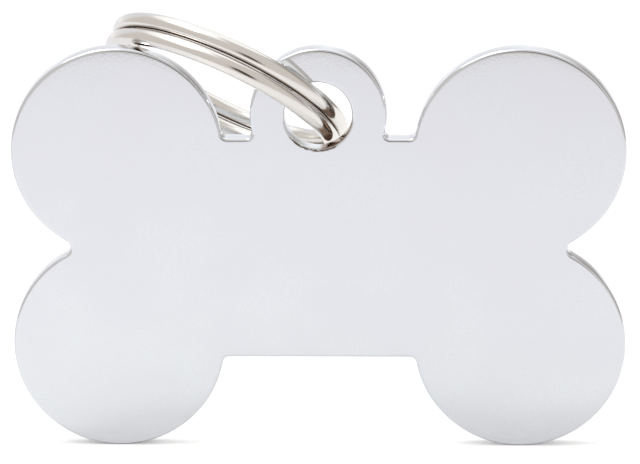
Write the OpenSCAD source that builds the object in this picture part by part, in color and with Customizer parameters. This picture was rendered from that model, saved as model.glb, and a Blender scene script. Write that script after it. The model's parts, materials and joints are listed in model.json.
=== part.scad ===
// Bone-shaped pet identity tag, a polished stamped plate, on a two-turn split ring.
// The plate stands upright on its two lower lobes, facing -Y. The ring is threaded
// through the lug's hole and leans on the upper left lobe.
// The origin is on the ground, under the middle of the whole object's box.

/* [Tag plate] */
// Width over the lobes, along X
tag_w = 38; // [35:0.5:42]
// Height over the lobes, along Z
tag_h = 25.4; // [23:0.1:29]
// Thickness of the plate, along Y
tag_t = 1.35; // [1:0.05:1.6]
// How far an upper lobe's circle runs into the lower one's
lobe_overlap = 0.4; // [0:0.1:1.5]
// Height of the straight body between the lobes
body_h = 14; // [12:0.1:15]
// Radius of the polished edge all round the outline
edge_r = 0.15; // [0.05:0.01:0.3]
// Radius in the corner where a lobe meets the straight body
corner_fillet_r = 0.4; // [0.2:0.05:0.8]
// Radius in the corner where an upper and a lower lobe meet
waist_fillet_r = 0.5; // [0.3:0.05:1]

/* [Lug] */
// Diameter of the lug that carries the ring, its top level with the lobes
lug_d = 8.45; // [7.5:0.05:9.5]
// Radius in the corner where the lug meets the body
lug_fillet_r = 0.35; // [0.2:0.05:0.6]
// Radius worn round both rims of the hole
hole_edge_r = 0.25; // [0.1:0.01:0.35]
// Room that the hole leaves round the ring's slanting wires
hole_play = 0.5; // [0.45:0.05:1]

/* [Split ring] */
// Outside diameter of the ring
ring_od = 16; // [14.5:0.25:18]
// Width of the wire, measured outwards from the ring's axis
wire_w = 0.95; // [0.8:0.05:1.2]
// Thickness of the wire, measured along the ring's axis
wire_t = 1.05; // [0.85:0.01:1.2]
// Rounding of the wire's four corners
wire_corner_r = 0.42; // [0.15:0.01:0.45]
// Gap between the two turns
turn_gap = 0.06; // [0.04:0.01:0.15]
// Angle of the ring over which the wire steps from one turn to the other
step_angle = 34; // [26:1:60]
// Angle left between a wire end and the step beside it
end_angle = 2; // [1:0.5:6]

/* [Ring pose] */
// Half of the arc of the ring that lies in front of the plate
front_half_angle = 50.5; // [47:0.5:56]
// Tilt of the ring's plane about the line on which it crosses the plate
dip_angle = 27.5; // [20:0.5:32]
// Clearance where the ring leans on the lobe
lean_gap = 0.12; // [0.1:0.01:0.3]
// Place of the step round the ring, behind the upper left lobe
step_place_angle = 116; // [60:1:150]

/* [Hidden] */
$fn = 96;
// How far a cut runs past the face that it opens
overrun = 0.5;

// How far a fillet's circle runs over the outlines that it joins, to cross them cleanly
fillet_bite = 0.01;
// Share of its smaller side that the rounding of the wire's corners may take up
round_limit_share = 0.46;

// Lobes, in the plate's own plane with its middle at zero
lobe_r = (tag_h / 2 + lobe_overlap) / 2;
lobe_x = tag_w / 2 - lobe_r;
lobe_y = tag_h / 2 - lobe_r;
body_half = body_h / 2;

// Lug
lug_r = lug_d / 2;
lug_y = tag_h / 2 - lug_r;

// Centres of the fillet circles, each touching the two outlines that it joins
corner_y = body_half + corner_fillet_r;
corner_x = lobe_x - third_side(lobe_r + corner_fillet_r, corner_y - lobe_y);
waist_x = lobe_x + third_side(lobe_r + waist_fillet_r, lobe_y);
lug_corner_y = body_half + lug_fillet_r;
lug_corner_x = third_side(lug_r + lug_fillet_r, lug_corner_y - lug_y);

// Ring, about its own axis
ring_r = ring_od / 2;
wire_r = ring_r - wire_w / 2;
wire_round_r = min(wire_corner_r, round_limit_share * min(wire_w, wire_t));
turn_level = (turn_gap + wire_t) / 2;

// The ring's middle line crosses the plate's middle twice, this far apart,
// and the ring's centre lies this deep behind the line through both crossings
chord = 2 * wire_r * sin(front_half_angle);
centre_depth = wire_r * cos(front_half_angle);

// Middle of a rounded corner of the stacked wires: its level, and its radius on
// the ring's inner and outer edge
corner_cut = wire_round_r * (1 - sqrt(1 / 2));
shoulder_level = turn_level + wire_t / 2 - corner_cut;
inner_shoulder_r = ring_r - wire_w + corner_cut;
outer_shoulder_r = ring_r - corner_cut;

// Where those corners pass a level of the plate, counted from its middle: how deep
// that is in the ring's plane, how far below the crossings' line, and how far
// inwards and outwards along it
function pass_depth(level) = (level + shoulder_level * sin(dip_angle)) / cos(dip_angle);
function pass_drop(level) = (shoulder_level + level * sin(dip_angle)) / cos(dip_angle);
function pass_inner(level) = chord / 2 - third_side(inner_shoulder_r, centre_depth + pass_depth(level));
function pass_outer(level) = third_side(outer_shoulder_r, centre_depth - pass_depth(level)) - chord / 2;

// The hole lets the slanting wires through its straight bore with some play, and
// they sit in it evenly between the plate's two faces
bore_level = tag_t / 2 - hole_edge_r;
pass_half = (pass_inner(bore_level) + pass_outer(bore_level)) / 2;
hole_r = sqrt(pow(pass_half, 2) + pow(pass_drop(bore_level), 2)) + hole_play / 2;
seat_shift = (pass_inner(tag_t / 2) - pass_outer(tag_t / 2)) / 2;

// The ring leans until an edge of its lower turn meets the lobe's back rim
rim_level = tag_t / 2 - edge_r;
lobe_away = sqrt(pow(lobe_x, 2) + pow(lug_y - lobe_y, 2));
lobe_below = atan2(lug_y - lobe_y, lobe_x);
lean_angle = max(lean_on(inner_shoulder_r), lean_on(outer_shoulder_r));

// Lean at which the edge of this radius meets the lobe's rim, by the law of cosines
function lean_on(edge) =
    let (along = third_side(edge, centre_depth - pass_depth(rim_level)) + chord / 2 - seat_shift,
         drop = pass_drop(rim_level),
         reach = sqrt(pow(along, 2) + pow(drop, 2)),
         rim = lobe_r + lean_gap)
    acos((pow(reach, 2) + pow(lobe_away, 2) - pow(rim, 2)) / (2 * reach * lobe_away))
        + atan2(drop, along) - lobe_below;

// The box over plate and ring is centred on the ring's middle, front to back
plate_y = -centre_depth * cos(dip_angle);

// Third side of a triangle with a right angle, from its longest and another side
function third_side(longest, other) = sqrt(pow(longest, 2) - pow(other, 2));

// Disc with rounded edges, lying in XY about the plate's middle
module round_disc(radius, edge) {
    rotate_extrude() {
        translate([0, edge - tag_t / 2]) square([radius, tag_t - 2 * edge]);
        translate([0, -tag_t / 2]) square([radius - edge, tag_t]);
        for (side = [-1, 1])
            translate([radius - edge, side * (tag_t / 2 - edge)]) circle(edge);
    }
}

// Cutter for a hole or a hollow corner, which flares to round the rims of both faces
module flared_cutter(radius, edge) {
    rotate_extrude()
        difference() {
            translate([0, -tag_t / 2 - overrun]) square([radius + edge, tag_t + 2 * overrun]);
            translate([radius, edge - tag_t / 2]) square([radius, tag_t - 2 * edge]);
            for (side = [-1, 1])
                translate([radius + edge, side * (tag_t / 2 - edge)]) circle(edge);
        }
}

// Straight body, with its upper and lower edges rounded
module body_bar() {
    rotate([90, 0, 90])
        linear_extrude(height = 2 * lobe_x, center = true) {
            square([body_h, tag_t - 2 * edge_r], center = true);
            square([body_h - 2 * edge_r, tag_t], center = true);
            for (side = [-1, 1], face = [-1, 1])
                translate([side * (body_half - edge_r), face * (tag_t / 2 - edge_r)]) circle(edge_r);
        }
}

// Web that fills a corner up to its fillet
module fillet_web(points, centre, radius) {
    difference() {
        linear_extrude(height = tag_t, center = true) polygon(points);
        translate(centre) flared_cutter(radius + fillet_bite, edge_r);
    }
}

// Web between the body's straight edge and a lobe
module corner_web() {
    fillet_web([[lobe_x, 0], [lobe_x, lobe_y], [corner_x, corner_y], [corner_x, 0]],
        [corner_x, corner_y], corner_fillet_r);
}

// Web between an upper and a lower lobe
module waist_web() {
    fillet_web([[lobe_x, lobe_y], [lobe_x, -lobe_y], [waist_x, 0]], [waist_x, 0], waist_fillet_r);
}

// Web between the lug and the body's upper edge
module lug_web() {
    fillet_web([[0, 0], [lug_corner_x, 0], [lug_corner_x, lug_corner_y], [0, lug_y]],
        [lug_corner_x, lug_corner_y], lug_fillet_r);
}

// Everything to the right of the plate's middle
module plate_half() {
    for (side = [0, 1])
        mirror([0, side, 0]) {
            translate([lobe_x, lobe_y]) round_disc(lobe_r, edge_r);
            corner_web();
        }
    waist_web();
    lug_web();
}

// Stamped plate: four lobes, a straight body and the lug, with the ring's hole drilled
module tag_plate() {
    color("gainsboro")
        translate([0, plate_y, tag_h / 2])
            rotate([90, 0, 0])
                difference() {
                    union() {
                        body_bar();
                        translate([0, lug_y]) round_disc(lug_r, edge_r);
                        plate_half();
                        mirror([1, 0, 0]) plate_half();
                    }
                    translate([0, lug_y]) flared_cutter(hole_r, hole_edge_r);
                }
}

// Section of the wire, outwards along X and along the ring's axis on Y
module wire_section(level) {
    translate([wire_r, level]) {
        square([wire_w, wire_t - 2 * wire_round_r], center = true);
        square([wire_w - 2 * wire_round_r, wire_t], center = true);
        for (out = [-1, 1], up = [-1, 1])
            translate([out * (wire_w / 2 - wire_round_r), up * (wire_t / 2 - wire_round_r)])
                circle(wire_round_r, $fn = 24);
    }
}

// Points of the same section for the step, a few on each rounded corner. They lie a
// hair inside it, so that the step enters the ends of both turns cleanly.
corner_steps = 5;
step_inset = 0.005;
section_points = [for (corner = [0 : 3], cut = [0 : corner_steps])
    let (turn = 90 * (corner + cut / corner_steps),
         out = corner == 0 || corner == 3 ? 1 : -1,
         up = corner < 2 ? 1 : -1)
    [out * (wire_w / 2 - wire_round_r) + (wire_round_r - step_inset) * cos(turn),
     up * (wire_t / 2 - wire_round_r) + (wire_round_r - step_inset) * sin(turn)]];

// Smooth fall from one to minus one while the share goes from zero to one
function step_fall(share) = let (s = max(0, min(1, share))) 1 - 2 * s * s * (3 - 2 * s);

// The step is swept through this many slices, the first and last inside the turns
step_slices = 24;
step_lap_angle = 1;
step_angles = [for (slice = [0 : step_slices])
    (step_angle / 2 + step_lap_angle) * (2 * slice / step_slices - 1)];

// One slice of the step at an angle round the ring
function step_slice(angle) =
    let (level = turn_level * step_fall(angle / step_angle + 0.5))
    [for (p = section_points)
        [(wire_r + p[0]) * cos(angle), (wire_r + p[0]) * sin(angle), level + p[1]]];

// Stretch of wire that steps from the upper turn to the lower one
module wire_step() {
    count = len(section_points);
    last = step_slices * count;
    points = [for (angle = step_angles) each step_slice(angle)];
    sides = [for (slice = [0 : step_slices - 1], i = [0 : count - 1])
        let (a = slice * count + i, b = slice * count + (i + 1) % count)
        [a, b, b + count, a + count]];
    caps = [[for (i = [count - 1 : -1 : 0]) i], [for (i = [0 : count - 1]) last + i]];
    polyhedron(points = points, faces = concat(sides, caps), convexity = 4);
}

// One level turn of wire, from the angle where it starts and over the angle that it spans
module wire_turn(level, start, span) {
    rotate([0, 0, start]) rotate_extrude(angle = span) wire_section(level);
}

// Two turns of one wire about Z, with the step from one to the other on the X axis
module ring_wire() {
    span = 360 - step_angle - end_angle;
    wire_turn(turn_level, step_angle / 2 + end_angle, span);
    wire_turn(-turn_level, step_angle / 2, span);
    wire_step();
}

// Split ring threaded through the hole, leaning on the upper left lobe
module split_ring() {
    color("silver")
        translate([0, plate_y, tag_h / 2 + lug_y])
            rotate([0, lean_angle, 0])
                rotate([-dip_angle, 0, 0])
                    translate([seat_shift - chord / 2, centre_depth, 0])
                        rotate([0, 0, step_place_angle])
                            ring_wire();
}

tag_plate();
split_ring();
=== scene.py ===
# Looks of a polished bone-shaped pet tag on its split ring, on a pale studio floor.
import json

import bmesh
import bpy
import numpy as np
from mathutils import Matrix, Vector
from mathutils.geometry import delaunay_2d_cdt


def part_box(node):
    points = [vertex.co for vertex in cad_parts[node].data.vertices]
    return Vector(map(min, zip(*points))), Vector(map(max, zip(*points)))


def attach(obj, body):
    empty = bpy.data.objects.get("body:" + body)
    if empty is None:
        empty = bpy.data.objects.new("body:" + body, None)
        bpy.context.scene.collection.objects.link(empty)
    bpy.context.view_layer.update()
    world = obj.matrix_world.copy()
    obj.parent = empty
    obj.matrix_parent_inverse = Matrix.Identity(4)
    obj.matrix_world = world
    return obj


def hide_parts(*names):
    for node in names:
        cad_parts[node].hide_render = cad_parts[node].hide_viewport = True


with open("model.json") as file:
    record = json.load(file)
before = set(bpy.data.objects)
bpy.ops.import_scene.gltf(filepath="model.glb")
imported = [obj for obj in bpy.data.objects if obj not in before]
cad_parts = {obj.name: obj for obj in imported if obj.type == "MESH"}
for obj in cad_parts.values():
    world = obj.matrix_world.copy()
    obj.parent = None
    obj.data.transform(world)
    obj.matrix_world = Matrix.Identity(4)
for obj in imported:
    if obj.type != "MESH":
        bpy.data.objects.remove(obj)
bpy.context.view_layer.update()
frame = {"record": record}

# Units: every length below is written in millimetres and carried to metres
MM = 0.001

# Tag plate. Its thickness and its middle plane are taken from the frame, further down
TAG_W = 38.0 * MM
TAG_H = 25.4 * MM
LOBE_OVERLAP = 0.4 * MM
BODY_H = 14.0 * MM
LUG_D = 8.45 * MM
HOLE_D = 4.195 * MM
CORNER_FILLET_R = 0.4 * MM
WAIST_FILLET_R = 0.5 * MM
LUG_FILLET_R = 0.35 * MM
EDGE_R = 0.18 * MM
HOLE_EDGE_R = 0.15 * MM
# Buffing rolls the faces off a little towards their edges: how far in from the outline
# and from the hole, and how steep it gets, in degrees
ROLL_W = 0.8 * MM
HOLE_ROLL_W = 0.4 * MM
ROLL_SLOPE = 0.6
# Rows of points over the roll-off, and over the round of the edge
ROLL_ROWS = 10
ROUND_ROWS = 12
# Spacing of the points along the outline, and the fewest on an arc and on a straight
OUTLINE_STEP = 0.07 * MM
ARC_LEAST = 8
LINE_LEAST = 2
# The cap's triangles fill the inside of its loops, with points this close taken as one
FILL_INSIDE = 1
CAP_TOLERANCE = 1e-6
# Points of a piece that are closer than this are joined
WELD = 0.0005 * MM

# Split ring
RING_OD = 16.0 * MM
WIRE_W = 0.95 * MM
WIRE_T = 1.05 * MM
# Power of the section's outline: 2 is an ellipse, and more is squarer
WIRE_FULLNESS = 2.15
TURN_GAP = 0.06 * MM
END_BEVEL = 0.1 * MM
# Angles round the ring, in degrees: one turn of it and the whole wire's two, how much of a
# turn the step takes, how far an end stops short of it, and where it lies
TURN = 360.0
TWO_TURNS = 720.0
STEP_ANGLE = 34.0
END_ANGLE = 2.0
STEP_PLACE = 116.0
# The wire is twisted a little where it enters the lug's hole, by this much on each turn.
# The twist comes on and goes off between these places, which are counted from the first
UPPER_TWIST = 4.0
LOWER_TWIST = 23.0
TWIST_COUNT = 90.0
TWIST_ON = (240.0, 266.0)
TWIST_OFF = (330.0, 390.0)
# Points round the wire's section, sections along the wire, and sections over a bevel
SECTION_POINTS = 56
WIRE_SECTIONS = 721
BEVEL_SECTIONS = 6

# Most of a noise's values lie between these
NOISE_LOW = 0.3
NOISE_HIGH = 0.7

# Finish of the plate: colours, size and depth of each pattern, and roughness
HAZE_SIZE = 5.0 * MM
HAZE_BAND = (0.35, 0.65)
DULL_STEEL = "E1E4E9"
PALE_STEEL = "E4E9ED"
WAVE_SIZE = 3.0 * MM
WAVE_DEPTH = 0.002 * MM
PEEL_SIZE = 0.15 * MM
PEEL_DEPTH = 0.0015 * MM
PEEL_HOLLOW = "E1E4E8"
PLATE_ROUGHNESS = (0.07, 0.12)

# Finish of the wire
LINE_GAP = 0.12 * MM
LINE_LENGTH = 4.0 * MM
LINE_DEPTH = 0.0012 * MM
DENT_SIZE = 1.5 * MM
DENT_DEPTH = 0.004 * MM
WIRE_ROUGHNESS = (0.09, 0.2)
# Levels from the groove's middle where its painted shade starts to clear and where it is gone
GROOVE_SHADE_FADES = (0.03 * MM, 0.14 * MM)
GROOVE_SHADE = "ADA399"
NICKEL = "E8E6E2"

# Painted contact shade, brown, where the ring rests on the upper left lobe's rim, and how far
#  it spreads on each
CONTACT_SHADE = "8A7B6F"
RESTING = (-10.8 * MM, -4.05 * MM, 25.35 * MM)
PLATE_CONTACT_SHADE_R = 0.6 * MM
WIRE_CONTACT_SHADE_R = 0.8 * MM

# Painted shade at the hole: the direction of each mark from its middle, the limits of each out
#  from its wall, if it is speckled, and its colour. The first darkens the wall where the ring bears
#  on it, and the second lies in dark specks along the edge
HOLE_SHADES = (((0.67, 0.0, -0.742), -0.2 * MM, 0.06 * MM, False, "A08D7F"),
              ((-0.17, 0.0, -0.985), 0.06 * MM, 0.19 * MM, True, "7A6E65"))
# A mark sets in between these shares of the hole's radius, and its limits are this soft
MARK_SHARES = (0.75, 0.85)
MARK_SOFTNESS = 0.03 * MM
SPECK_BAND = (0.42, 0.5)

# Camera: the photograph's angle, its distance, and its frame in pixels
CAMERA_TURN = 1.74
CAMERA_RISE = 15.32
CAMERA_ROLL = 0.342
CAMERA_DISTANCE = 400.0 * MM
IMAGE_W = 640.0
IMAGE_H = 464.0
PIXELS_PER_MM = 16.164
CENTRE_PX_X = 318.865
CENTRE_PX_Y = 248.771
SENSOR_W = 36.0

# Table: how far it reaches in front of the tag, beside it and behind it
TABLE_FRONT = 116.0 * MM
TABLE_SIDE = 160.0 * MM
TABLE_BACK = 600.0 * MM
# Its paper near the tag, and the painted falloff of light on it, where its tone darkens: the way
# that
#  is measured along, the distances between which the tone sets in, and the tone. The first two run
#  to the front, sooner on the right, and the last runs behind on the left
PAPER = "FAFAFA"
PAPER_LIGHT_FALLOFF = (((0.4, -1, 0), 0, 50 * MM, "F4F3F5"),
               ((0.4, -1, 0), 30 * MM, 150 * MM, "ECEAED"),
               ((-1, 0.7, 0), 5 * MM, 50 * MM, "E8E8EC"))
PAPER_GLOW = 0.25

# Studio: its tones, and the strength of what the object mirrors and of what the camera sees
WHITE = "FFFFFF"
ROOM = "CDC8C4"
STUDIO_STRENGTH = 1.17
SEEN_STRENGTH = 1.0
# Edge of the white ceiling on the left and on the right: how much a lean to the back adds to
# a direction's height, and the heights between which the ceiling sets in
CEILING_EDGES = ((0.1, 0.62, 0.78), (0.5, 0.82, 0.93))
# Parts of a direction, to the right and to the back, between which the ceiling's left edge
# gives way to its right one, and the room to the backdrop
CEILING_SEAM = (-0.15, 0.15)
BACKDROP = (0.55, 0.92)
# Darker things in the room: turn and rise of each, its reach and the reach of its full tone,
# in degrees, and the tone
ROOM_THINGS = (((-155, 25), 34, 12, "DCDCDF"),
               ((128, 12), 50, 30, "99948F"),
               ((6, 4), 15, 8, "4A4039"))
# Soft lamps: place in millimetres, width, and power in watts
SOFTBOXES = (("front", (-200.0, -80.0, 500.0), 300.0 * MM, 0.67),
             ("overhead", (-160.0, 170.0, 500.0), 100.0 * MM, 0.29))

# Sockets of a mix node that take its two colours, and the one that gives the result
MIX_FIRST = 6
MIX_SECOND = 7
MIX_COLOUR = 2

plate_low, plate_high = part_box("tag_plate")
tag_t = plate_high.y - plate_low.y
plate_y = (plate_high.y + plate_low.y) / 2
plate_z = TAG_H / 2

lobe_r = (TAG_H / 2 + LOBE_OVERLAP) / 2
lobe_x = TAG_W / 2 - lobe_r
lobe_z = TAG_H / 2 - lobe_r
body_half = BODY_H / 2
lug_r = LUG_D / 2
lug_z = TAG_H / 2 - lug_r
hole_r = HOLE_D / 2
wire_r = (RING_OD - WIRE_W) / 2


def srgb(text):
    """Linear colour of an sRGB hex value such as "E4E5E8", with alpha 1."""
    c = np.array([int(text[i:i + 2], 16) for i in (0, 2, 4)]) / 255
    linear = np.where(c <= 0.04045, c / 12.92, ((c + 0.055) / 1.055) ** 2.4)
    return (*linear, 1.0)


def add(tree, kind, inputs=None, **settings):
    """Adds a node with its settings. An input is a value, an sRGB hex value or a socket."""
    node = tree.nodes.new(kind)
    for name, value in settings.items():
        setattr(node, name, value)
    for name, value in (inputs or {}).items():
        if isinstance(value, bpy.types.NodeSocket):
            tree.links.new(value, node.inputs[name])
        else:
            node.inputs[name].default_value = srgb(value) if isinstance(value, str) else value
    return node


def shade_over(tree, value, low, high, start, end):
    """Colour that goes smoothly from start to end while a value goes from low to high."""
    share = add(tree, "ShaderNodeMapRange", {"Value": value, "From Min": low, "From Max": high},
                interpolation_type="SMOOTHSTEP").outputs["Result"]
    return add(tree, "ShaderNodeMix", {"Factor": share, MIX_FIRST: start, MIX_SECOND: end},
               data_type="RGBA").outputs[MIX_COLOUR]


def show_camera(tree, ordinary, shown):
    """Shader that is one thing to the camera's own rays, and the ordinary one to the rest."""
    rays = add(tree, "ShaderNodeLightPath")
    return add(tree, "ShaderNodeMixShader", {"Fac": rays.outputs["Is Camera Ray"],
                                             1: ordinary, 2: shown}).outputs["Shader"]


def compass(turn, rise):
    """Direction at a turn from the front towards the right, and a rise, in degrees."""
    turn, rise = np.radians([turn, rise])
    return (np.sin(turn) * np.cos(rise), -np.cos(turn) * np.cos(rise), np.sin(rise))


def smooth(value, low, high):
    """Smooth step, s^2 (3 - 2 s) for the share s of the way from low to high."""
    share = np.clip((value - low) / (high - low), 0, 1)
    return share ** 2 * (3 - 2 * share)


def third_side(longest, other):
    """Third side of a triangle with a right angle, from its longest and another side."""
    return np.sqrt(longest ** 2 - other ** 2)


def arc(centre, radius, start, end, hollow=False):
    """Points and outward normals on a circle, from one angle to another in degrees.

    Point = centre + radius (cos a, sin a). The normal is (cos a, sin a), or its opposite
    on a hollow stretch, such as a fillet. The last point is left to the next stretch.
    """
    count = max(int(abs(np.radians(end - start)) * radius / OUTLINE_STEP), ARC_LEAST)
    angle = np.radians(np.linspace(start, end, count, endpoint=False))
    radial = np.stack([np.cos(angle), np.sin(angle)], axis=1)
    return np.array(centre) + radius * radial, -radial if hollow else radial


def line(start, end, normal):
    """Points evenly spaced from start to end, all with one outward normal, less the last."""
    start, end = np.array(start), np.array(end)
    count = max(int(np.linalg.norm(end - start) / OUTLINE_STEP), LINE_LEAST)
    share = np.linspace(0, 1, count, endpoint=False)[:, None]
    return start + share * (end - start), np.tile(normal, (count, 1)).astype(float)


def bone_outline():
    """Closed outline of the plate in X and Z about its middle, with outward normals.

    The right half runs anticlockwise from the middle of the lower edge: the straight
    edge, a fillet, the lower lobe, the waist's fillet, the upper lobe, a fillet, the
    notch's floor, the lug's fillet and the lug. The left half is its mirror image.
    """
    corner_z = body_half + CORNER_FILLET_R
    corner_x = lobe_x - third_side(lobe_r + CORNER_FILLET_R, corner_z - lobe_z)
    corner_turn = np.degrees(np.arctan2(corner_z - lobe_z, lobe_x - corner_x))
    waist_x = lobe_x + third_side(lobe_r + WAIST_FILLET_R, lobe_z)
    waist_turn = np.degrees(np.arctan2(lobe_z, waist_x - lobe_x))
    neck_z = body_half + LUG_FILLET_R
    neck_x = third_side(lug_r + LUG_FILLET_R, lug_z - neck_z)
    neck_turn = np.degrees(np.arctan2(lug_z - neck_z, neck_x))
    stretches = [
        line((0, -body_half), (corner_x, -body_half), (0, -1)),
        arc((corner_x, -corner_z), CORNER_FILLET_R, 90, corner_turn, hollow=True),
        arc((lobe_x, -lobe_z), lobe_r, 180 + corner_turn, 360 + waist_turn),
        arc((waist_x, 0), WAIST_FILLET_R, 180 + waist_turn, 180 - waist_turn, hollow=True),
        arc((lobe_x, lobe_z), lobe_r, -waist_turn, 180 - corner_turn),
        arc((corner_x, corner_z), CORNER_FILLET_R, -corner_turn, -90, hollow=True),
        line((corner_x, body_half), (neck_x, body_half), (0, 1)),
        arc((neck_x, neck_z), LUG_FILLET_R, -90, -180 - neck_turn, hollow=True),
        arc((0, lug_z), lug_r, -neck_turn, 90),
    ]
    points = np.concatenate([s[0] for s in stretches])
    normals = np.concatenate([s[1] for s in stretches])
    mirror = np.array([-1, 1])
    top = np.array([[0, lug_z + lug_r]])
    points = np.concatenate([points, top, points[:0:-1] * mirror])
    normals = np.concatenate([normals, [[0, 1]], normals[:0:-1] * mirror])
    return points, normals


def hole_outline():
    """Circle of the hole, run the other way round, with normals towards its centre."""
    return arc((0, lug_z), hole_r, 360, 0, hollow=True)


def edge_profile(edge, width):
    """Rows over a rim from front to back: distance in from the outline, and place in Y.

    The face rolls off as a cube: depth = d (1 - s)^3 at a share s of the roll's width,
    where d = width tan(ROLL_SLOPE) / 3 makes it end at that slope. A round of radius
    edge takes over there, and turns down to the rim. The back mirrors the front.
    """
    slope = np.radians(ROLL_SLOPE)
    drop = width * np.tan(slope) / 3
    start = edge * (1 - np.sin(slope))
    share = np.linspace(1, 0, ROLL_ROWS)
    roll_in = start + share * width
    roll_depth = drop * (1 - share) ** 3
    turn = np.linspace(slope, np.pi / 2, ROUND_ROWS)[1:]
    round_in = edge * (1 - np.sin(turn))
    round_depth = drop + edge * (np.cos(slope) - np.cos(turn))
    inset = np.concatenate([roll_in, round_in])
    depth = np.concatenate([roll_depth, round_depth])
    front = np.stack([inset, depth - tag_t / 2], axis=1)
    return np.concatenate([front, front[::-1] * [1, -1]])


def strip_faces(grid):
    """Quads between a grid's neighbouring rows, its last column joined to its first."""
    rows, columns = grid.shape[:2]
    row, column = np.meshgrid(np.arange(rows - 1), np.arange(columns), indexing="ij")
    here = row * columns + column
    beside = row * columns + (column + 1) % columns
    return np.stack([here, here + columns, beside + columns, beside], axis=-1).reshape(-1, 4)


def rim_strip(outline, profile):
    """Grid of points and its faces: a profile of (inset, y) rows along a closed outline.

    Point = (outline - inset normal) in X and Z, y in Y.
    """
    points, normals = outline
    flat = points[None] - profile[:, 0][:, None, None] * normals[None]
    y = np.broadcast_to(profile[:, 1][:, None], flat.shape[:2])
    grid = np.stack([flat[..., 0], y, flat[..., 1]], axis=-1)
    return grid, strip_faces(grid)


def face_cap(loops):
    """Triangles that fill the flat face between the outer loop and the hole's loop."""
    flat = np.concatenate([loop[:, [0, 2]] for loop in loops])
    edges, first = [], 0
    for loop in loops:
        index = np.arange(len(loop))
        edges += np.stack([first + index, first + (index + 1) % len(loop)], axis=1).tolist()
        first += len(loop)
    scaled = (flat / MM).tolist()
    filled = delaunay_2d_cdt(scaled, edges, [], FILL_INSIDE, CAP_TOLERANCE)
    verts = np.array(filled[0]) * MM
    faces = np.array(filled[2])
    middles = verts[faces].mean(axis=1)
    hole_loop_r = np.linalg.norm(loops[1][0, [0, 2]] - [0, lug_z])
    in_hole = np.linalg.norm(middles - [0, lug_z], axis=1) < hole_loop_r
    y = np.full(len(verts), loops[0][0, 1])
    return np.stack([verts[:, 0], y, verts[:, 1]], axis=1), faces[~in_hole]


def make_piece(name, parts, body, node, material):
    """One closed mesh of (points, faces) parts that stands for a node and rides on a body."""
    points = [part_points.reshape(-1, 3) for part_points, _ in parts]
    faces, first = [], 0
    for part_points, (_, part_faces) in zip(points, parts):
        faces += (part_faces + first).tolist()
        first += len(part_points)
    data = bpy.data.meshes.new(name)
    data.from_pydata(np.concatenate(points).tolist(), [], faces)
    mesh = bmesh.new()
    mesh.from_mesh(data)
    bmesh.ops.remove_doubles(mesh, verts=mesh.verts, dist=WELD)
    bmesh.ops.recalc_face_normals(mesh, faces=mesh.faces)
    mesh.to_mesh(data)
    mesh.free()
    data.shade_smooth()
    data.materials.append(material)
    piece = bpy.data.objects.new(name, data)
    bpy.context.scene.collection.objects.link(piece)
    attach(piece, body)
    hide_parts(node)


def plate_parts():
    """The plate: a rolled rim all round, the hole's rim, and the two flat faces."""
    rim, rim_quads = rim_strip(bone_outline(), edge_profile(EDGE_R, ROLL_W))
    bore, bore_quads = rim_strip(hole_outline(), edge_profile(HOLE_EDGE_R, HOLE_ROLL_W))
    front = face_cap([rim[0], bore[0]])
    back = face_cap([rim[-1], bore[-1]])
    move = np.array([0, plate_y, plate_z])
    return [(points + move, faces) for points, faces in
            ((rim, rim_quads), (bore, bore_quads), front, back)]


def wire_section():
    """Closed section of the wire, as (outwards, along the axis): |x/a|^p + |y/b|^p = 1.

    At an angle t, x = a cos(t)^(2/p) and y = b sin(t)^(2/p), each with its own sign.
    """
    turn = np.linspace(0, 2 * np.pi, SECTION_POINTS, endpoint=False)
    power = 2 / WIRE_FULLNESS
    out = np.sign(np.cos(turn)) * np.abs(np.cos(turn)) ** power
    up = np.sign(np.sin(turn)) * np.abs(np.sin(turn)) ** power
    return np.stack([out * WIRE_W / 2, up * WIRE_T / 2], axis=1)


def wire_stations():
    """Angles of the sections along the wire, and how much an end's bevel draws each in.

    The sections are evenly spaced, and closer over a bevel, where they are drawn in by
    bevel (1 - sqrt(1 - s^2)) at a share s of the way out to the end.
    """
    first = STEP_ANGLE / 2 + END_ANGLE
    last = TWO_TURNS - first
    bevel_turn = np.degrees(END_BEVEL / wire_r)
    over = np.linspace(0, np.pi / 2, BEVEL_SECTIONS)
    head = first + bevel_turn * (1 - np.sin(over))[::-1]
    even = np.linspace(first, last, WIRE_SECTIONS)
    even = even[(even > head[-1]) & (even < TWO_TURNS - head[-1])]
    angle = np.concatenate([head[:-1], even, (TWO_TURNS - head[:-1])[::-1]])
    draw = np.zeros(len(angle))
    for way_in in (angle - first, last - angle):
        share = np.clip(1 - way_in / bevel_turn, 0, 1)
        draw += END_BEVEL * (1 - third_side(1, share))
    return angle, draw


def ring_axes():
    """Centre of the ring, and its three axes: two across it, and its own axis last."""
    mount = frame["record"]["mounts"][0]
    axis = np.array(mount["axis"]) / np.linalg.norm(mount["axis"])
    along = np.cross([0, 1, 0], axis)
    along /= np.linalg.norm(along)
    return np.array(mount["pos_m"]), np.stack([along, np.cross(axis, along), axis])


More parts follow.
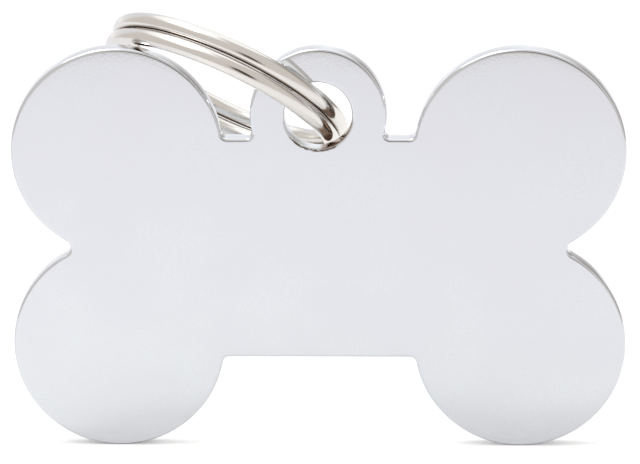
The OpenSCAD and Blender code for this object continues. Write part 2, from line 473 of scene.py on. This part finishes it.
def ring_parts():
    """Both turns and the step between them, as one section carried along the wire.

    At an angle a the section's middle is at radius wire_r and at a level that is held on
    the upper turn, falls as 1 - 2 s^2 (3 - 2 s) over the step's share s, and is held on
    the lower turn. The section turns by the twist about its middle, outer side down. It
    shrinks over each end's bevel, and a flat closes it.
    """
    angle, draw = wire_stations()
    level = (TURN_GAP + WIRE_T) / 2
    step = smooth(angle, TURN - STEP_ANGLE / 2, TURN + STEP_ANGLE / 2)
    height = level * (1 - 2 * step)
    around = (angle + STEP_PLACE - TWIST_COUNT) % TURN + TWIST_COUNT
    share = smooth(around, *TWIST_ON) - smooth(around, *TWIST_OFF)
    twist = -np.radians(share * np.where(angle < TURN, UPPER_TWIST, LOWER_TWIST))[:, None]
    section = wire_section()
    across = (1 - 2 * draw / WIRE_W)[:, None] * section[:, 0]
    along = (1 - 2 * draw / WIRE_T)[:, None] * section[:, 1]
    radius = wire_r + across * np.cos(twist) - along * np.sin(twist)
    up = height[:, None] + across * np.sin(twist) + along * np.cos(twist)
    turn = np.radians(angle + STEP_PLACE)[:, None]
    centre, axes = ring_axes()
    grid = np.stack([radius * np.cos(turn), radius * np.sin(turn), up], axis=-1) @ axes + centre
    flat = np.arange(SECTION_POINTS)[None]
    return [(grid, strip_faces(grid)), (grid[0], flat), (grid[-1], flat)]


def new_material(name):
    """Empty material and its node tree."""
    material = bpy.data.materials.new(name)
    material.use_nodes = True
    material.node_tree.nodes.clear()
    return material, material.node_tree


def contact_shaded(tree, place, reach, colour):
    """The colour, with painted contact shade within a reach of where the ring rests."""
    away = add(tree, "ShaderNodeVectorMath", {0: place, 1: RESTING}, operation="DISTANCE")
    return shade_over(tree, away.outputs["Value"], reach, reach / 2, colour, CONTACT_SHADE)


def hole_shaded(tree, place, peel, colour):
    """The colour, with painted shade marks at the hole, each cut out by the smooth steps of its
    limits.
    """
    flat = add(tree, "ShaderNodeVectorMath",
               {0: place, 1: (1, 0, 1), 2: (0, 0, -plate_z - lug_z)},
               operation="MULTIPLY_ADD").outputs["Vector"]
    radius = add(tree, "ShaderNodeVectorMath", {0: flat}, operation="LENGTH").outputs["Value"]
    for spot, inner, outer, speckled, shade in HOLE_SHADES:
        towards = add(tree, "ShaderNodeVectorMath", {0: flat, 1: spot},
                      operation="DOT_PRODUCT").outputs["Value"]
        start, end = hole_r + inner, hole_r + outer
        limits = [(towards, MARK_SHARES[0] * hole_r, MARK_SHARES[1] * hole_r),
                  (radius, start - MARK_SOFTNESS, start + MARK_SOFTNESS),
                  (radius, end + MARK_SOFTNESS, end - MARK_SOFTNESS)]
        if speckled:
            limits.append((peel, *SPECK_BAND))
        mark = 1.0
        for value, low, high in limits:
            step = add(tree, "ShaderNodeMapRange",
                       {"Value": value, "From Min": low, "From Max": high},
                       interpolation_type="SMOOTHSTEP")
            mark = add(tree, "ShaderNodeMath", {0: mark, 1: step.outputs["Result"]},
                       operation="MULTIPLY").outputs["Value"]
        colour = add(tree, "ShaderNodeMix", {"Factor": mark, MIX_FIRST: colour, MIX_SECOND: shade},
                     data_type="RGBA").outputs[MIX_COLOUR]
    return colour


def polished_plate():
    """Nickel-plated steel, buffed to a mirror: cool and bright, with a faint polishing haze."""
    material, tree = new_material("buffed_nickel_plate")
    place = add(tree, "ShaderNodeTexCoord").outputs["Object"]
    # The buffing wheel leaves a haze in soft patches, some duller and some faintly paler
    haze = add(tree, "ShaderNodeTexNoise",
               {"Vector": place, "Scale": 1 / HAZE_SIZE, "Detail": 3.0}).outputs["Fac"]
    roughness = add(tree, "ShaderNodeMapRange",
                    {"Value": haze, "From Min": NOISE_LOW, "From Max": NOISE_HIGH,
                     "To Min": PLATE_ROUGHNESS[0], "To Max": PLATE_ROUGHNESS[1]})
    steel = shade_over(tree, haze, *HAZE_BAND, DULL_STEEL, PALE_STEEL)
    # The sheet is flat to a few microns only: long, shallow waves bend what it mirrors
    wave = add(tree, "ShaderNodeTexNoise", {"Vector": place, "Scale": 1 / WAVE_SIZE, "Detail": 1.0})
    waves = add(tree, "ShaderNodeBump",
                {"Height": wave.outputs["Fac"], "Strength": 1.0, "Distance": WAVE_DEPTH})
    # Orange peel under the plating breaks up the reflections along the edges. Its hollows
    # hold a trace of polish, which gives the faces a fine grain
    peel = add(tree, "ShaderNodeTexNoise",
               {"Vector": place, "Scale": 1 / PEEL_SIZE, "Detail": 2.0}).outputs["Fac"]
    bump = add(tree, "ShaderNodeBump", {"Height": peel, "Strength": 1.0, "Distance": PEEL_DEPTH,
                                        "Normal": waves.outputs["Normal"]})
    steel = shade_over(tree, peel, NOISE_LOW, NOISE_HIGH, PEEL_HOLLOW, steel)
    # Painted shade darkens the hole's wall brown where the ring bears on it, low on the right,
    #  and lies in dark specks along its edge, low on the left
    steel = hole_shaded(tree, place, peel, steel)
    # Painted contact shade darkens the rim brown where the ring rests on it
    steel = contact_shaded(tree, place, PLATE_CONTACT_SHADE_R, steel)
    shader = add(tree, "ShaderNodeBsdfPrincipled",
                 {"Base Color": steel, "Metallic": 1.0,
                  "Roughness": roughness.outputs["Result"], "Normal": bump.outputs["Normal"]})
    add(tree, "ShaderNodeOutputMaterial", {"Surface": shader.outputs["BSDF"]})
    return material


def ring_wire():
    """Nickel-plated spring steel wire, drawn and tumbled: warm, with marks along its length.

    Marks are laid out on the ring itself: its level along the axis, its distance from the
    axis, and the length round it.
    """
    material, tree = new_material("tumbled_nickel_wire")
    centre, axes = ring_axes()
    whole = add(tree, "ShaderNodeTexCoord").outputs["Object"]
    place = add(tree, "ShaderNodeVectorMath", {0: whole, 1: tuple(centre)},
                operation="SUBTRACT").outputs["Vector"]
    along, across, level = [add(tree, "ShaderNodeVectorMath", {0: place, 1: tuple(axis)},
                                operation="DOT_PRODUCT").outputs["Value"] for axis in axes]
    flat = add(tree, "ShaderNodeCombineXYZ", {"X": along, "Y": across})
    reach = add(tree, "ShaderNodeVectorMath", {0: flat.outputs["Vector"]}, operation="LENGTH")
    turn = add(tree, "ShaderNodeMath", {0: across, 1: along}, operation="ARCTAN2")
    length = add(tree, "ShaderNodeMath", {0: turn.outputs["Value"], 1: RING_OD / 2},
                 operation="MULTIPLY")
    laid = add(tree, "ShaderNodeCombineXYZ",
               {"X": level, "Y": reach.outputs["Value"],
                "Z": length.outputs["Value"]}).outputs["Vector"]
    # The drawing die leaves fine lines along the wire
    stretched = add(tree, "ShaderNodeVectorMath",
                    {0: laid, 1: (1 / LINE_GAP, 1 / LINE_GAP, 1 / LINE_LENGTH)},
                    operation="MULTIPLY")
    lines = add(tree, "ShaderNodeTexNoise", {"Vector": stretched.outputs["Vector"],
                                             "Scale": 1.0, "Detail": 2.0}).outputs["Fac"]
    roughness = add(tree, "ShaderNodeMapRange",
                    {"Value": lines, "From Min": NOISE_LOW, "From Max": NOISE_HIGH,
                     "To Min": WIRE_ROUGHNESS[0], "To Max": WIRE_ROUGHNESS[1]})
    # Tumbling leaves small dents
    dents = add(tree, "ShaderNodeTexNoise", {"Vector": laid, "Scale": 1 / DENT_SIZE, "Detail": 2.0})
    dented = add(tree, "ShaderNodeBump",
                 {"Height": dents.outputs["Fac"], "Strength": 1.0, "Distance": DENT_DEPTH})
    bump = add(tree, "ShaderNodeBump", {"Height": lines, "Strength": 1.0, "Distance": LINE_DEPTH,
                                        "Normal": dented.outputs["Normal"]})
    # Painted shade darkens the groove between the turns brown
    depth = add(tree, "ShaderNodeMath", {0: level}, operation="ABSOLUTE").outputs["Value"]
    nickel = shade_over(tree, depth, *GROOVE_SHADE_FADES, GROOVE_SHADE, NICKEL)
    # Painted contact shade darkens the wire brown where it rests on the plate's rim
    nickel = contact_shaded(tree, whole, WIRE_CONTACT_SHADE_R, nickel)
    shader = add(tree, "ShaderNodeBsdfPrincipled",
                 {"Base Color": nickel, "Metallic": 1.0,
                  "Roughness": roughness.outputs["Result"], "Normal": bump.outputs["Normal"]})
    add(tree, "ShaderNodeOutputMaterial", {"Surface": shader.outputs["BSDF"]})
    return material


def studio_floor():
    """Pale matt table. The camera sees it a little lighter, so that it blows out to white."""
    material, tree = new_material("pale_table")
    place = add(tree, "ShaderNodeTexCoord").outputs["Object"]
    # Painted shade: the paper's tone darkens away from the tag, where the light falls off
    tone = PAPER
    for way, near, far, fallen in PAPER_LIGHT_FALLOFF:
        distance = add(tree, "ShaderNodeVectorMath", {0: place, 1: way},
                       operation="DOT_PRODUCT").outputs["Value"]
        tone = shade_over(tree, distance, near, far, tone, fallen)
    paper = add(tree, "ShaderNodeBsdfDiffuse", {"Color": tone}).outputs["BSDF"]
    glow = add(tree, "ShaderNodeEmission", {"Color": WHITE, "Strength": PAPER_GLOW})
    lifted = add(tree, "ShaderNodeAddShader", {0: paper, 1: glow.outputs["Emission"]})
    surface = show_camera(tree, paper, lifted.outputs["Shader"])
    add(tree, "ShaderNodeOutputMaterial", {"Surface": surface})
    data = bpy.data.meshes.new("table")
    data.from_pydata([(-TABLE_SIDE, -TABLE_FRONT, 0), (TABLE_SIDE, -TABLE_FRONT, 0),
                      (TABLE_SIDE, TABLE_BACK, 0), (-TABLE_SIDE, TABLE_BACK, 0)],
                     [], [(0, 1, 2, 3)])
    data.materials.append(material)
    table = bpy.data.objects.new("table", data)
    bpy.context.scene.collection.objects.link(table)


def studio_world():
    """White studio, open to a room of warm grey in front. The camera sees plain white.

    The white ceiling ends at 45 degrees on the left, and near the zenith on the right in
    front. Below it the room fades into the pale backdrop behind. Three darker things
    stand in it: a dull stretch of the backdrop behind on the left, something larger behind
    on the right, and what is round the camera, straight ahead.
    """
    world = bpy.data.worlds.new("studio")
    bpy.context.scene.world = world
    world.use_nodes = True
    tree = world.node_tree
    tree.nodes.clear()
    direction = add(tree, "ShaderNodeTexCoord").outputs["Generated"]
    towards = add(tree, "ShaderNodeSeparateXYZ", {"Vector": direction}).outputs
    measures = [(towards["X"], *CEILING_SEAM)]
    for lean, low, high in CEILING_EDGES:
        height = add(tree, "ShaderNodeVectorMath", {0: direction, 1: (0, lean, 1)},
                     operation="DOT_PRODUCT").outputs["Value"]
        measures.append((height, low, high))
    right, left_edge, right_edge = [
        add(tree, "ShaderNodeMapRange", {"Value": value, "From Min": low, "From Max": high},
            interpolation_type="SMOOTHSTEP").outputs["Result"] for value, low, high in measures]
    ceiling = add(tree, "ShaderNodeMix", {"Factor": right, "A": left_edge, "B": right_edge})
    walls = shade_over(tree, towards["Y"], *BACKDROP, ROOM, WHITE)
    for place, reach, core, tone in ROOM_THINGS:
        facing = add(tree, "ShaderNodeVectorMath", {0: direction, 1: compass(*place)},
                     operation="DOT_PRODUCT").outputs["Value"]
        edge, full = np.cos(np.radians([reach, core]))
        walls = shade_over(tree, facing, edge, full, walls, tone)
    seen = add(tree, "ShaderNodeMix",
               {"Factor": ceiling.outputs[0], MIX_FIRST: walls, MIX_SECOND: WHITE},
               data_type="RGBA").outputs[MIX_COLOUR]
    studio = add(tree, "ShaderNodeBackground", {"Color": seen, "Strength": STUDIO_STRENGTH})
    plain = add(tree, "ShaderNodeBackground", {"Color": WHITE, "Strength": SEEN_STRENGTH})
    surface = show_camera(tree, studio.outputs["Background"], plain.outputs["Background"])
    add(tree, "ShaderNodeOutputWorld", {"Surface": surface})


def softboxes():
    """Two soft lamps above on the left: a large one a little in front, and a small one behind."""
    for name, spot, width, power in SOFTBOXES:
        data = bpy.data.lights.new("softbox_" + name, "AREA")
        data.shape = "SQUARE"
        data.size = width
        data.energy = power
        lamp = bpy.data.objects.new("softbox_" + name, data)
        lamp.location = Vector(np.array(spot) * MM)
        lamp.rotation_euler = lamp.location.to_track_quat("Z", "Y").to_euler()
        bpy.context.scene.collection.objects.link(lamp)


def photo_camera():
    """Camera at the photograph's angle, aimed at the middle of the plate's front face."""
    turn, roll = np.radians([CAMERA_TURN, CAMERA_ROLL])
    back = np.array(compass(CAMERA_TURN, CAMERA_RISE))
    right = np.array([np.cos(turn), np.sin(turn), 0])
    up = np.cross(back, right)
    rolled_right = np.cos(roll) * right - np.sin(roll) * up
    rolled_up = np.sin(roll) * right + np.cos(roll) * up
    aim = np.array([0, plate_y - tag_t / 2, plate_z])
    data = bpy.data.cameras.new("camera")
    data.sensor_width = SENSOR_W
    data.lens = CAMERA_DISTANCE / MM * PIXELS_PER_MM * SENSOR_W / IMAGE_W
    data.shift_x = (IMAGE_W / 2 - CENTRE_PX_X) / IMAGE_W
    data.shift_y = (CENTRE_PX_Y - IMAGE_H / 2) / IMAGE_W
    camera = bpy.data.objects.new("camera", data)
    place = np.eye(4)
    place[:3, :3] = np.stack([rolled_right, rolled_up, back], axis=1)
    place[:3, 3] = aim + CAMERA_DISTANCE * back
    camera.matrix_world = Matrix(place.tolist())
    bpy.context.scene.collection.objects.link(camera)
    bpy.context.scene.camera = camera


photo_camera()
bpy.context.scene.view_settings.view_transform = "Standard"
make_piece("bone_plate", plate_parts(), "plate", "tag_plate", polished_plate())
make_piece("wire_ring", ring_parts(), "ring", "split_ring", ring_wire())
studio_floor()
studio_world()
softboxes()
